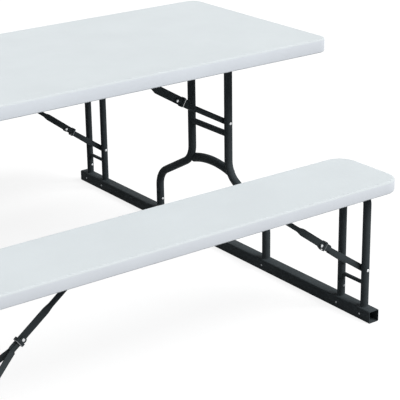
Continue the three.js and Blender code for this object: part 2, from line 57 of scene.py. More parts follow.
RECESS_DRAFT = 0.003
SUPPORT = 0.002
TABLE_TOP = {"top": "table_top", "corner": 0.038, "panel": 0.022, "pitch": 0.078}
FRONT_SEAT = {"top": "front_bench_seat", "corner": 0.058, "panel": 0.020, "pitch": 0.072}
REAR_SEAT = {"top": "rear_bench_seat", "corner": 0.058, "panel": 0.020, "pitch": 0.072}
DIMPLE_RADIUS = 0.013
DIMPLE_FLOOR = 0.008
DIMPLE_DEPTH = 0.008
DIMPLE_LIP = 0.002
DIMPLE_BORDER = 0.030
DIMPLE_CLEAR = 0.030
MERGE_DISTANCE = 1e-7

# Steel tubes
TABLE_TUBE = 0.0134
BENCH_TUBE = 0.012
PIVOT_TUBE = 0.010
TUBE_WALL = 0.0016
TUBE_CHAMFER = 0.0006
LEG_BEND = 0.074
HOOP_BEND = 0.030
KNUCKLE_HEIGHT = 0.272
ANKLE_HEIGHT = 0.166
ARCH_BOW = 0.350
ARCH_HALF_DEEP = 0.012
ARCH_HALF_TALL = 0.0155
ARCH_TRIM = 0.011
LEG_PLUG = 0.003
COPE_DEPTH = 0.004
WELD_BEAD = 0.0012
WELD_RIPPLES = 11
WELD_RIPPLE = 0.16

# Foot rails
RAIL_CORNER = 0.004
RAIL_WALL = 0.002
SOCKET_WALL = 0.0025
COLLAR_WIDTH = 0.0025
COLLAR_HEIGHT = 0.006
BOLT_RADIUS = 0.0034
BOLT_HEIGHT = 0.0018

# Knee braces
TABLE_STRUT = {"tall": 0.028, "tail": 0.058}
BENCH_STRUT = {"tall": 0.022, "tail": 0.042}
STRUT_RADIUS = 0.00725
STRUT_THIN = 0.005
STRUT_HEAD = 0.009
STRUT_BEHIND_KNEE = 0.088
STRUT_TAPER = 0.026
STRUT_NOSE = 0.008
FLAT_POWER = 0.45
TRUNNION_RADIUS = 0.004
TRUNNION_HALF = 0.0075
STEM_GAP = 0.0003
STEM_LENGTH = 0.042
STEM_LOW = 0.0042
STEM_RISE = 0.006
FORK_HEIGHT = 0.0185
FORK_LANDING = 0.016
FORK_BAR = 0.0035
FORK_BEND = 0.016
FORK_EDGE = 0.001
FORK_CORNER = 0.0009
LEG_SIDE_GAP = 0.0005
RIVET_RADIUS = 0.0045
RIVET_HEIGHT = 0.0014
RIVET_SINK = 0.00035
KNEE_HEAD_HEIGHT = 0.0009
PIN_RADIUS = 0.003
RING_EDGE = 0.0006
RING_CORNER = 0.004
RING_WALL = 0.0016
RING_BARE = 0.002

# Saddles, anchors and their screws
SADDLE_EDGE = 0.001
FLANGE_REACH = 0.018
FLANGE_THICKNESS = 0.0025
FLANGE_CORNER = 0.004
CHEEK_RADIUS = 0.007
CHEEK_THICKNESS = 0.003
CHEEK_GAP = 0.003
PLATE_THICKNESS = 0.0015
SCREW_WASHER = 0.0055
SCREW_WASHER_TOP = 0.00506
SCREW_WASHER_RIM = 0.0007
SCREW_WASHER_HEIGHT = 0.00117
SCREW_HEX = 0.0040
SCREW_HEX_TOP = 0.00344
SCREW_HEX_RIM = 0.00315
SCREW_HEIGHT = 0.0035
TINY = 1e-6

# Facets of round forms
ROUND = 32
SMALL_ROUND = 20
BEND_STEPS = 10
CORNER_STEPS = 8
EDGE_STEPS = 5
EYE_STEPS = 20
FORK_CORNER_STEPS = 2
ARCH_STEPS = 40
HEXAGON = 6
SMOOTH_ANGLE = math.radians(32)

# Colours as pairs from dark to light
PLASTIC_CLOUDS = ((0.722, 0.771, 0.792), (0.746, 0.797, 0.818))
PLASTIC_SCUFFS = ((0.754, 0.805, 0.824), (0.760, 0.811, 0.830))
# Painted shade: the upright sides of the tops are painted bluer and a little darker than the flat tops.
PLASTIC_SIDE_SHADE = ((0.708, 0.744, 0.792), (0.730, 0.768, 0.816))
# Painted shade: darker colours on the rounded top edges of the tops, damping their highlight.
PLASTIC_EDGE_SHADE = ((0.612, 0.654, 0.672), (0.640, 0.684, 0.702))
COAT_CLOUDS = ((0.0430, 0.0520, 0.0565), (0.0540, 0.0640, 0.0690))
COAT_RUBBED = ((0.070, 0.080, 0.085), (0.100, 0.110, 0.115))
ZINC_SPANGLE = ((0.56, 0.58, 0.60), (0.74, 0.75, 0.75))
# Darker zinc: a dull finish on the rail bolts, and painted shade on the front bench's snap buttons and on the
# bare edges of the benches' rings.
DULL_AND_SHADED_ZINC_SPANGLE = ((0.16, 0.17, 0.18), (0.26, 0.27, 0.28))
WHITE_TO_BLACK = ((1, 1, 1), (0, 0, 0))
SCUFF_SHARES = ((0, 0, 0), (0.35, 0.35, 0.35))

# Where a mask changes: most of a noise lies in its range, and the rest is how far a face looks up
NOISE_RANGE = (0.3, 0.7)
# The two ranges below also set where the painted shade of the upright sides and of the rounded top edges
# lies.
UPRIGHT_TO_EDGE = (0.10, 0.40)
EDGE_TO_FLAT = (0.92, 0.99)

# Camera fitted to the straight edges in the photograph
CAMERA_PLACE = (-1.9767, -3.4857, 1.7922)
CAMERA_HEADING = math.radians(36.224)
CAMERA_PITCH = math.radians(-20.70)
CAMERA_ROLL = math.radians(-0.787)
SENSOR = 36.0
IMAGE_SIDE = 400
FOCAL_PIXELS = 1395.2

# Light
WORLD_LEVEL = 0.16
SUN_LEVEL = 3.45
SUN_SPREAD = math.radians(40)
SUN_FROM = (0.32, -0.58, 0.74)
FLOOR_SIDE = 60.0
FLOOR_TONE = 0.34
FLOOR_GLOW = 0.86
FLOOR_SHADOW_SHARE = 0.22

X_AXIS = Vector((1, 0, 0))
Y_AXIS = Vector((0, 1, 0))
Z_AXIS = Vector((0, 0, 1))
ENDS = {"right": 1, "left": -1}
BENCHES = ("front_bench", "rear_bench")
UNITS = ("table",) + BENCHES
TOPS = {"table": TABLE_TOP, "front_bench": FRONT_SEAT, "rear_bench": REAR_SEAT}
STRUTS = {"table": TABLE_STRUT, "front_bench": BENCH_STRUT, "rear_bench": BENCH_STRUT}
joints = {row["name"]: row for row in frame["joints"]}


# Materials

def new_material(name):
    material = bpy.data.materials.new(name)
    material.use_nodes = True
    tree = material.node_tree
    return material, tree, tree.nodes["Principled BSDF"]


def object_noise(tree, scale, detail=2.0, stretch=(1, 1, 1)):
    """Noise that is fixed to the object, stretched along its axes."""
    place = tree.nodes.new("ShaderNodeTexCoord")
    mapping = tree.nodes.new("ShaderNodeMapping")
    mapping.inputs["Scale"].default_value = stretch
    noise = tree.nodes.new("ShaderNodeTexNoise")
    noise.inputs["Scale"].default_value = scale
    noise.inputs["Detail"].default_value = detail
    tree.links.new(place.outputs["Object"], mapping.inputs["Vector"])
    tree.links.new(mapping.outputs["Vector"], noise.inputs["Vector"])
    return noise.outputs["Fac"]


def object_cells(tree, scale):
    """Cells that are fixed to the object: each cell has its own colour."""
    place = tree.nodes.new("ShaderNodeTexCoord")
    cells = tree.nodes.new("ShaderNodeTexVoronoi")
    cells.inputs["Scale"].default_value = scale
    tree.links.new(place.outputs["Object"], cells.inputs["Vector"])
    return cells


def colour_between(tree, factor, span, colours):
    """Turns a factor into a colour: the first one below its span, the second one above it."""
    ramp = tree.nodes.new("ShaderNodeValToRGB")
    for element, position, colour in zip(ramp.color_ramp.elements, span, colours):
        element.position = position
        element.color = (*colour, 1)
    tree.links.new(factor, ramp.inputs["Fac"])
    return ramp.outputs["Color"]


def value_between(tree, factor, low, high):
    """Spreads a noise from low to high."""
    spread = tree.nodes.new("ShaderNodeMapRange")
    spread.inputs["From Min"].default_value = NOISE_RANGE[0]
    spread.inputs["From Max"].default_value = NOISE_RANGE[1]
    spread.inputs["To Min"].default_value = low
    spread.inputs["To Max"].default_value = high
    tree.links.new(factor, spread.inputs["Value"])
    return spread.outputs["Result"]


def mixed(tree, factor, first, second):
    mix = tree.nodes.new("ShaderNodeMix")
    mix.data_type = "RGBA"
    tree.links.new(factor, mix.inputs["Factor"])
    tree.links.new(first, mix.inputs["A"])
    tree.links.new(second, mix.inputs["B"])
    return mix.outputs["Result"]


def bumped(tree, shader, layers):
    """Stacks bump layers of (height, strength, distance) and feeds the shader's normal."""
    normal = None
    for height, strength, distance in layers:
        bump = tree.nodes.new("ShaderNodeBump")
        bump.inputs["Strength"].default_value = strength
        bump.inputs["Distance"].default_value = distance
        tree.links.new(height, bump.inputs["Height"])
        if normal is not None:
            tree.links.new(normal, bump.inputs["Normal"])
        normal = bump.outputs["Normal"]
    tree.links.new(normal, shader.inputs["Normal"])


def edge_mask(tree, low, high):
    """One on worn outer edges, broken up by noise, and zero elsewhere."""
    geometry = tree.nodes.new("ShaderNodeNewGeometry")
    edges = tree.nodes.new("ShaderNodeMapRange")
    edges.inputs["From Min"].default_value = low
    edges.inputs["From Max"].default_value = high
    patches = value_between(tree, object_noise(tree, scale=45, detail=4), 0, 1)
    product = tree.nodes.new("ShaderNodeMath")
    product.operation = "MULTIPLY"
    tree.links.new(geometry.outputs["Pointiness"], edges.inputs["Value"])
    tree.links.new(edges.outputs["Result"], product.inputs[0])
    tree.links.new(patches, product.inputs[1])
    return product.outputs["Value"]


def upward(tree):
    """How far a face looks up: one on a flat top, zero on an upright side."""
    place = tree.nodes.new("ShaderNodeTexCoord")
    parts = tree.nodes.new("ShaderNodeSeparateXYZ")
    tree.links.new(place.outputs["Normal"], parts.inputs["Vector"])
    return parts.outputs["Z"]


def top_edge_shade_mask(tree):
    """Where shade is painted: one on the rounded edge between a flat top and its upright sides, and zero on
    both.
    """
    ramp = tree.nodes.new("ShaderNodeValToRGB")
    side, top = ramp.color_ramp.elements
    side.position = UPRIGHT_TO_EDGE[0]
    side.color = (0, 0, 0, 1)
    top.position = EDGE_TO_FLAT[1]
    top.color = (0, 0, 0, 1)
    for position in (UPRIGHT_TO_EDGE[1], EDGE_TO_FLAT[0]):
        ramp.color_ramp.elements.new(position).color = (1, 1, 1, 1)
    tree.links.new(upward(tree), ramp.inputs["Fac"])
    return ramp.outputs["Color"]


def moulded_plastic():
    """Blow-moulded polyethylene: pale grey, finely pebbled and clouded, with painted shade making its upright
    sides bluer and a little darker and its rounded top edges darker.
    """
    material, tree, shader = new_material("moulded_polyethylene")
    clouds = colour_between(tree, object_noise(tree, scale=5, detail=3), (0.35, 0.65), PLASTIC_CLOUDS)
    scuffs = object_noise(tree, scale=30, detail=6, stretch=(0.6, 7, 7))
    scuffed = colour_between(tree, scuffs, (0.60, 0.72), SCUFF_SHARES)
    pale = colour_between(tree, object_noise(tree, scale=9), NOISE_RANGE, PLASTIC_SCUFFS)
    # Painted shade: a darker colour on the rounded top edges, where the light would give a highlight.
    painted_edge_shade = colour_between(tree, object_noise(tree, scale=40, detail=3), NOISE_RANGE, PLASTIC_EDGE_SHADE)
    # Painted shade: the upright sides get a bluer, slightly darker colour than the tops.
    bluish_side_shade = colour_between(tree, object_noise(tree, scale=7), (0.35, 0.65), PLASTIC_SIDE_SHADE)
    upright = colour_between(tree, upward(tree), UPRIGHT_TO_EDGE, WHITE_TO_BLACK)
    faces = mixed(tree, upright, mixed(tree, scuffed, clouds, pale), bluish_side_shade)
    tree.links.new(mixed(tree, top_edge_shade_mask(tree), faces, painted_edge_shade), shader.inputs["Base Color"])
    gloss = value_between(tree, object_noise(tree, scale=22, detail=4), 0.50, 0.62)
    tree.links.new(gloss, shader.inputs["Roughness"])
    shader.inputs["Specular IOR Level"].default_value = 0.14
    pebbles = object_cells(tree, scale=620)
    fine = object_noise(tree, scale=1500)
    bumped(tree, shader, [(pebbles.outputs["Distance"], 0.10, 0.0004), (fine, 0.10, 0.0002)])
    return material


def powder_coat():
    """Charcoal powder coat on steel: satin, with an orange-peel skin and slightly rubbed edges."""
    material, tree, shader = new_material("charcoal_powder_coat")
    clouds = colour_between(tree, object_noise(tree, scale=14, detail=4), (0.35, 0.65), COAT_CLOUDS)
    rubbed = colour_between(tree, object_noise(tree, scale=160), NOISE_RANGE, COAT_RUBBED)
    worn = mixed(tree, edge_mask(tree, 0.56, 0.68), clouds, rubbed)
    tree.links.new(worn, shader.inputs["Base Color"])
    gloss = value_between(tree, object_noise(tree, scale=60, detail=3), 0.42, 0.54)
    tree.links.new(gloss, shader.inputs["Roughness"])
    shader.inputs["Specular IOR Level"].default_value = 0.02
    peel = object_noise(tree, scale=700)
    grit = object_noise(tree, scale=2600, detail=1)
    bumped(tree, shader, [(peel, 0.16, 0.0003), (grit, 0.08, 0.0001)])
    return material


def zinc_plate(name, colours, smooth, rough):
    """Zinc on small steel pieces: spangled, with fine turning marks."""
    material, tree, shader = new_material(name)
    spangle = object_cells(tree, scale=900)
    tone = colour_between(tree, spangle.outputs["Color"], (0.1, 0.9), colours)
    tree.links.new(tone, shader.inputs["Base Color"])
    shader.inputs["Metallic"].default_value = 1.0
    gloss = value_between(tree, object_noise(tree, scale=420, detail=3), smooth, rough)
    tree.links.new(gloss, shader.inputs["Roughness"])
    bumped(tree, shader, [(object_noise(tree, scale=1800), 0.10, 0.0001)])
    return material


plastic = moulded_plastic()
coat = powder_coat()
zinc = zinc_plate("zinc_plate", ZINC_SPANGLE, 0.26, 0.40)
# Darker zinc: the rail bolts' dull finish, and painted shade on some buttons and ring edges.
dull_and_shaded_zinc = zinc_plate("dull_and_shaded_zinc_plate", DULL_AND_SHADED_ZINC_SPANGLE, 0.40, 0.55)


# Mesh helpers

def ring(bm, points):
    return [bm.verts.new(point) for point in points]


def loft(bm, rings, closed=False):
    """Joins closed rings of vertices one after another; a ring of one vertex is a pole."""
    pairs = list(zip(rings, rings[1:]))
    if closed:
        pairs.append((rings[-1], rings[0]))
    made = []
    for near, far in pairs:
        count = max(len(near), len(far))
        for i in range(count):
            j = (i + 1) % count
            if len(near) == 1:
                corners = (near[0], far[j], far[i])
            elif len(far) == 1:
                corners = (near[i], near[j], far[0])
            else:
                corners = (near[i], near[j], far[j], far[i])
            made.append(bm.faces.new(corners))
    return made


def oval(half_x, half_y, count):
    turns = [math.tau * i / count for i in range(count)]
    return [(half_x * math.cos(turn), half_y * math.sin(turn)) for turn in turns]


def circle(radius, count):
    return oval(radius, radius, count)


def rounded_loop(half_x, half_y, radius, steps=CORNER_STEPS):
    """A rectangle with round corners, counter-clockwise, as (x, y) points."""
    points = []
    corners = ((1, 1), (-1, 1), (-1, -1), (1, -1))
    for quarter, (sx, sy) in enumerate(corners):
        for step in range(steps + 1):
            angle = math.pi / 2 * (quarter + step / steps)
            x = sx * (half_x - radius) + radius * math.cos(angle)
            y = sy * (half_y - radius) + radius * math.sin(angle)
            points.append((x, y))
    return points


def bent_path(points, bend):
    """Stations of (point, tangent) along straight runs joined by round bends."""
    points = [Vector(p) for p in points]
    directions = [(b - a).normalized() for a, b in zip(points, points[1:])]
    stations = [(points[0], directions[0])]
    for corner, before, after in zip(points[1:], directions, directions[1:]):
        turn = before.angle(after)
        axis = before.cross(after).normalized()
        start = corner - before * bend * math.tan(turn / 2)
        centre = start + axis.cross(before) * bend
        for step in range(BEND_STEPS + 1):
            spin = Matrix.Rotation(turn * step / BEND_STEPS, 3, axis)
            stations.append((centre + spin @ (start - centre), spin @ before))
    stations.append((points[-1], directions[-1]))
    return stations


def section_points(station, side, section):
    """A flat section of (along side, along the other normal) points, set square to the path."""
    point, tangent = station
    other = tangent.cross(side).normalized()
    return [point + side * a + other * b for a, b in section]


def tube(bm, stations, deep, tall=None, wall=TUBE_WALL, side=X_AXIS, sides=ROUND):
    """A round or oval tube with softened open ends, along a path that is flat and square to side."""
    tall = tall or deep
    (first, first_way), (last, last_way) = stations[0], stations[-1]
    soft = [(first + first_way * TUBE_CHAMFER, first_way)]
    soft += stations[1:-1]
    soft.append((last - last_way * TUBE_CHAMFER, last_way))
    outside = [(stations[0], TUBE_CHAMFER)]
    outside += [(station, 0) for station in soft]
    outside.append((stations[-1], TUBE_CHAMFER))
    inside = [(station, wall) for station in reversed(stations)]
    rings = []
    for station, inset in outside + inside:
        section = oval(deep - inset, tall - inset, sides)
        rings.append(ring(bm, section_points(station, side, section)))
    loft(bm, rings, closed=True)


def revolve(bm, profile, matrix=Matrix.Identity(4), sides=SMALL_ROUND, closed=False):
    """Turns a profile of (radius, height) about the local Z axis; a radius of zero is a pole."""
    rings = []
    for radius, height in profile:
        flat = [(0, 0)] if radius == 0 else circle(radius, sides)
        rings.append(ring(bm, [matrix @ Vector((x, y, height)) for x, y in flat]))
    return loft(bm, rings, closed)


def dome(radius, height, root=0.0):
    """Profile of a low dome that stands on a surface, from its root below it to its top."""
    turns = [math.pi / 2 * i / EDGE_STEPS for i in range(EDGE_STEPS)]
    arc = [(radius * math.cos(turn), height * math.sin(turn)) for turn in turns]
    return [(0, root), (radius, root)] + arc + [(0, height)]


def facing(place, direction):
    """Matrix that stands a revolved form at a place with its local Z along a direction."""
    turn = Z_AXIS.rotation_difference(Vector(direction)).to_matrix().to_4x4()
    return Matrix.Translation(place) @ turn


def piece(name, bm, materials, body, node=None):
    """Makes an object from a mesh in the frame's own coordinates and sets it on a body."""
    bmesh.ops.recalc_face_normals(bm, faces=bm.faces)
    mesh = bpy.data.meshes.new(name)
    bm.to_mesh(mesh)
    bm.free()
    mesh.shade_smooth()
    mesh.set_sharp_from_angle(angle=SMOOTH_ANGLE)
    for material in materials:
        mesh.materials.append(material)
    item = bpy.data.objects.new(name, mesh)
    bpy.context.scene.collection.objects.link(item)
    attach(item, body)
    if node:
        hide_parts(node)
    return item


# Moulded tops

def edge_arc(inset, level, radius, start, stop):
    """Part of a rounded edge as (inset, level) pairs, about a centre that lies inset and level."""
    pairs = []
    for step in range(EDGE_STEPS + 1):
        angle = start + (stop - start) * step / EDGE_STEPS
        pairs.append((inset - radius * math.cos(angle), level + radius * math.sin(angle)))
    return pairs


def top_profile(bottom, top, underside):
    """The wall of a moulded top from the flat of its upper face round to the flat of its recess."""
    quarter = math.pi / 2
    profile = [(TOP_EDGE + SUPPORT, top)]
    profile += edge_arc(TOP_EDGE, top - TOP_EDGE, TOP_EDGE, quarter, 0)
    profile += edge_arc(RIM_EDGE, bottom + RIM_EDGE, RIM_EDGE, 0, -quarter)
    inner = RIM_WIDTH - RIM_EDGE
    profile += edge_arc(inner, bottom + RIM_EDGE, RIM_EDGE, -quarter, -2 * quarter)
    foot = RIM_WIDTH + RECESS_DRAFT + RECESS_FILLET
    fillet = edge_arc(foot, underside - RECESS_FILLET, RECESS_FILLET, 0, quarter)
    return profile + fillet + [(foot + SUPPORT, underside)]


def dimple_places(low, high, pitch, blocked):
    """Centres of the dimples under a top, in even rows, away from what is screwed on there."""
    spans = [high[axis] - low[axis] - 2 * (RIM_WIDTH + DIMPLE_BORDER) for axis in (0, 1)]
    counts = [max(1, int(span / pitch)) for span in spans]
    steps = [span / count for span, count in zip(spans, counts)]
    middle = (low + high) / 2
    places = []
    for column in range(counts[0] + 1):
        for row in range(counts[1] + 1):
            x = middle.x + (column - counts[0] / 2) * steps[0]
            y = middle.y + (row - counts[1] / 2) * steps[1]
            near = [
                a.x - DIMPLE_CLEAR < x < b.x + DIMPLE_CLEAR and a.y - DIMPLE_CLEAR < y < b.y + DIMPLE_CLEAR
                for a, b in blocked
            ]
            if not any(near):
                places.append((x, y))
    return places


def dimpled_floor(bm, border, level, places):
    """Fills the flat inside a border with faces that leave room for round dimples, and adds the dimples."""
    flat = [Vector((x, y)) for x, y in border]
    edges = [(i, (i + 1) % len(border)) for i in range(len(border))]
    lips = []
    for x, y in places:
        first = len(flat)
        flat += [Vector((x + a, y + b)) for a, b in circle(DIMPLE_RADIUS, SMALL_ROUND)]
        edges += [(first + i, first + (i + 1) % SMALL_ROUND) for i in range(SMALL_ROUND)]
        lips.append((x, y, first))
    points, _, triangles, _, _, _ = delaunay_2d_cdt(flat, edges, [], 0, MERGE_DISTANCE)
    verts = ring(bm, [(p.x, p.y, level) for p in points])
    owner = {first + i: at for at, (_, _, first) in enumerate(lips) for i in range(SMALL_ROUND)}
    for triangle in triangles:
        owners = {owner.get(i) for i in triangle}
        inside_a_dimple = len(owners) == 1 and None not in owners
        if not inside_a_dimple:
            bm.faces.new([verts[i] for i in triangle])
    for x, y, first in lips:
        rings = [verts[first:first + SMALL_ROUND]]
        shape = [
            (DIMPLE_RADIUS - DIMPLE_LIP / 2, DIMPLE_LIP / 2),
            (DIMPLE_FLOOR + DIMPLE_LIP / 2, DIMPLE_DEPTH - DIMPLE_LIP / 2),
            (DIMPLE_FLOOR - DIMPLE_LIP / 2, DIMPLE_DEPTH),
        ]
        for radius, depth in shape:
            rings.append(ring(bm, [(x + a, y + b, level + depth) for a, b in circle(radius, SMALL_ROUND)]))
        rings.append(ring(bm, [(x, y, level + DIMPLE_DEPTH)]))
        loft(bm, rings)
    return verts[:len(border)]


def moulded_top(unit):
    sizes = TOPS[unit]
    low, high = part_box(sizes["top"])
    middle = (low + high) / 2
    half = (high - low) / 2
    underside = high.z - sizes["panel"]
    bm = bmesh.new()

    def loop(inset):
        corner = max(sizes["corner"] - inset, SUPPORT)
        flat = rounded_loop(half.x - inset, half.y - inset, corner)
        return [(middle.x + x, middle.y + y) for x, y in flat]

    profile = top_profile(low.z, high.z, underside)
    rings = [ring(bm, [(x, y, z) for x, y in loop(inset)]) for inset, z in profile[:-1]]
    bm.faces.new(rings[0])
    mounted = [f"{end}_{unit}_{what}" for end in ENDS for what in ("pivot_saddle", "brace_anchor")]
    places = dimple_places(low, high, sizes["pitch"], [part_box(node) for node in mounted])
    rings.append(dimpled_floor(bm, loop(profile[-1][0]), underside, places))
    loft(bm, rings)
    return piece(f"{unit}_moulded_top", bm, [plastic], unit, sizes["top"])


# Foot rails

def rail_tube(end):
    node = f"{end}_foot_rail"
    low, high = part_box(node)
    x = (low.x + high.x) / 2
    half = (high.x - low.x) / 2
    bm = bmesh.new()

    def across(y, inset, corner):
        flat = rounded_loop(half - inset, half - inset, corner, EDGE_STEPS)
        return ring(bm, [(x + a, y, half + b) for a, b in flat])

    outside = [
        across(low.y, TUBE_CHAMFER, RAIL_CORNER - TUBE_CHAMFER),
        across(low.y + TUBE_CHAMFER, 0, RAIL_CORNER),
        across(high.y - TUBE_CHAMFER, 0, RAIL_CORNER),
        across(high.y, TUBE_CHAMFER, RAIL_CORNER - TUBE_CHAMFER),
    ]
    inside = [across(y, RAIL_WALL, RAIL_CORNER - RAIL_WALL) for y in (high.y, low.y)]
    loft(bm, outside + inside, closed=True)
    return piece(f"{end}_rail_tube", bm, [coat], "foot_rails", node)


def leg_feet(end, unit):
    """The two places on a rail where the legs of one unit stand, with the radius of their tube."""
    if unit == "table":
        radius = TABLE_TUBE
        boxes = [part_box(f"{end}_table_{which}_leg") for which in ("front", "rear")]
        ys = (boxes[0][0].y + radius, boxes[1][1].y - radius)
        x = (boxes[0][0].x + boxes[0][1].x) / 2
        bottom = boxes[0][0].z
    else:
        radius = BENCH_TUBE
        low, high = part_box(f"{end}_{unit}_leg_hoop")
        ys = (low.y + radius, high.y - radius)
        x = (low.x + high.x) / 2
        bottom = low.z
    return [Vector((x, y, bottom)) for y in ys], radius


def rail_socket(end, unit, number, foot, radius):
    """A round socket welded onto the rail, with a fillet of weld at its root and a bore for the leg."""
    rail_top = 2 * (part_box(f"{end}_foot_rail")[1].x - foot.x)
    top = foot.z - LEG_SIDE_GAP
    profile = [(radius - SOCKET_WALL, rail_top), (radius + COLLAR_WIDTH, rail_top)]
    for step in range(1, EDGE_STEPS + 1):
        angle = math.pi / 2 * step / EDGE_STEPS
        out = radius + COLLAR_WIDTH * (1 - math.sin(angle))
        profile.append((out, rail_top + COLLAR_HEIGHT * (1 - math.cos(angle))))
    profile.append((radius, top - TUBE_CHAMFER))
    profile.append((radius - TUBE_CHAMFER, top))
    profile.append((radius - SOCKET_WALL, top))
    bm = bmesh.new()
    revolve(bm, profile, Matrix.Translation((foot.x, foot.y, 0)), ROUND, closed=True)
    return piece(f"{end}_{unit}_rail_socket_{number}", bm, [coat], "foot_rails")


def rail_bolt(end, unit, number, foot):
    """A round bolt head on the inward face of the rail, under a leg."""
    low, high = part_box(f"{end}_foot_rail")
    inward = -ENDS[end]
    face = low.x if inward < 0 else high.x
    half = (high.x - low.x) / 2
    bm = bmesh.new()
    revolve(bm, dome(BOLT_RADIUS, BOLT_HEIGHT), facing((face, foot.y, half), (inward, 0, 0)))
    return piece(f"{end}_{unit}_rail_bolt_{number}", bm, [dull_and_shaded_zinc], "foot_rails")


def snap_button(end, unit):
    node = f"{end}_{unit}_snap_button"
    low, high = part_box(node)
    radius = (high.x - low.x) / 2
    place = ((low.x + high.x) / 2, high.y, (low.z + high.z) / 2)
    length = high.y - low.y
    profile = [(0, 0), (radius, 0)]
    for step in range(EDGE_STEPS):
        angle = math.pi / 2 * step / EDGE_STEPS
        profile.append((radius * math.cos(angle), length - radius / 2 + radius / 2 * math.sin(angle)))
    profile.append((0, length))
    bm = bmesh.new()
    revolve(bm, profile, facing(place, (0, -1, 0)))
    # Painted shade: the front bench's buttons get the darker zinc, the others bright zinc.
    plating = dull_and_shaded_zinc if unit == "front_bench" else zinc
    return piece(f"{end}_{unit}_button", bm, [plating], f"{end}_{unit}_button", node)


def foot_rail(end):
    rail_tube(end)
    for unit in UNITS:
        feet, radius = leg_feet(end, unit)
        for number, foot in enumerate(feet, 1):
            rail_socket(end, unit, number, foot, radius)
            rail_bolt(end, unit, number, foot)
        snap_button(end, unit)


# Leg frames

def weld(bm, place, inward, leg_radius, bar_radius):
    """A rippled ring of weld where the end of a bar meets the inner side of an upright leg."""
    rings = []
    for i in range(ROUND):
        turn = math.tau * i / ROUND
        out = Vector((math.cos(turn), 0, math.sin(turn)))
        x = bar_radius * out.x
        y = inward * math.sqrt(leg_radius ** 2 - x ** 2)
        centre = place + Vector((x, y, bar_radius * out.z))
        bead = WELD_BEAD * (1 + WELD_RIPPLE * math.sin(WELD_RIPPLES * turn))
        rings.append(ring(bm, [centre + out * a + Y_AXIS * b for a, b in circle(bead, EDGE_STEPS * 2)]))
    loft(bm, rings, closed=True)


def crossbar(end, unit, legs, leg_radius):
    """A tube between the two legs, run a little way into them and welded all round."""
    node = f"{end}_{unit}_crossbar"
    low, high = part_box(node)
    x = (low.x + high.x) / 2
    z = (low.z + high.z) / 2
    radius = (high.z - low.z) / 2
    reach = leg_radius - COPE_DEPTH
    body = f"{end}_{unit}_legs"
    bm = bmesh.new()
    tube(bm, bent_path([(x, min(legs) + reach, z), (x, max(legs) - reach, z)], 0), radius)
    piece(f"{end}_{unit}_cross_tube", bm, [coat], body, node)
    bm = bmesh.new()
    weld(bm, Vector((x, min(legs), z)), 1, leg_radius, radius)
    weld(bm, Vector((x, max(legs), z)), -1, leg_radius, radius)
    piece(f"{end}_{unit}_cross_welds", bm, [coat], body)


def legs_plane(end, unit):
    return joints[f"{end}_{unit}_leg_fold"]["pos_m"][0]


def table_legs(end):
    body = f"{end}_table_legs"
    x = legs_plane(end, "table")
    uprights = []
    for which, side in (("front", -1), ("rear", 1)):
        node = f"{end}_table_{which}_leg"
        low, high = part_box(node)
        outer = (low.y if side < 0 else high.y) - side * TABLE_TUBE
        inner = (high.y if side < 0 else low.y) + side * TABLE_TUBE
        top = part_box(f"{end}_table_pivot_bar")[1].z
        points = [
            (x, inner, top),
            (x, inner, KNUCKLE_HEIGHT),
            (x, outer, ANKLE_HEIGHT),
            (x, outer, low.z),
        ]
        bm = bmesh.new()
        tube(bm, bent_path(points, LEG_BEND), TABLE_TUBE)
        plug = dome(TABLE_TUBE - TUBE_CHAMFER, LEG_PLUG, -LEG_PLUG)
        revolve(bm, plug, Matrix.Translation((x, inner, top)), ROUND)
        piece(f"{end}_table_{which}_tube", bm, [coat], body, node)
        uprights.append(inner)
    crossbar(end, "table", uprights, TABLE_TUBE)
    return uprights


def arch(end):
    """An oval tube bowed across the outward sides of the legs' bends, its ends trimmed to lie on the legs."""
    node = f"{end}_table_arch"
    low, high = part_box(node)
    x = (low.x + high.x) / 2
    apex = high.z - ARCH_HALF_TALL
    half_angle = math.asin((high.y - ARCH_TRIM) / ARCH_BOW)
    stations = []
    for step in range(ARCH_STEPS + 1):
        angle = half_angle * (2 * step / ARCH_STEPS - 1)
        point = Vector((x, ARCH_BOW * math.sin(angle), apex - ARCH_BOW * (1 - math.cos(angle))))
        stations.append((point, Vector((0, math.cos(angle), -math.sin(angle)))))
    bm = bmesh.new()
    tube(bm, stations, ARCH_HALF_DEEP, ARCH_HALF_TALL)
    return piece(f"{end}_table_arch_tube", bm, [coat], f"{end}_table_legs", node)


def pivot_bar(end):
    node = f"{end}_table_pivot_bar"
    low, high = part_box(node)
    x = (low.x + high.x) / 2
    z = (low.z + high.z) / 2
    bm = bmesh.new()
    tube(bm, bent_path([(x, low.y, z), (x, high.y, z)], 0), PIVOT_TUBE)
    return piece(f"{end}_table_pivot_tube", bm, [coat], f"{end}_table_legs", node)


def bench_hoop(end, unit):
    node = f"{end}_{unit}_leg_hoop"
    low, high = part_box(node)
    x = legs_plane(end, unit)
    legs = (low.y + BENCH_TUBE, high.y - BENCH_TUBE)
    top = high.z - BENCH_TUBE
    points = [(x, legs[0], low.z), (x, legs[0], top), (x, legs[1], top), (x, legs[1], low.z)]
    bm = bmesh.new()
    tube(bm, bent_path(points, HOOP_BEND), BENCH_TUBE)
    piece(f"{end}_{unit}_hoop_tube", bm, [coat], f"{end}_{unit}_legs", node)
    crossbar(end, unit, legs, BENCH_TUBE)
    return legs


def leg_rivets(end, unit, legs, radius, rivet):
    """Rivet heads on the outer side of both legs, where the fork is pinned."""
    bm = bmesh.new()
    middle = sum(legs) / 2
    for y in legs:
        out = math.copysign(1, y - middle)
        place = (rivet.x, y + out * (radius - RIVET_SINK), rivet.z)
        revolve(bm, dome(RIVET_RADIUS, RIVET_HEIGHT), facing(place, (0, out, 0)))
    return piece(f"{end}_{unit}_leg_rivets", bm, [zinc], f"{end}_{unit}_legs")


# Knee braces

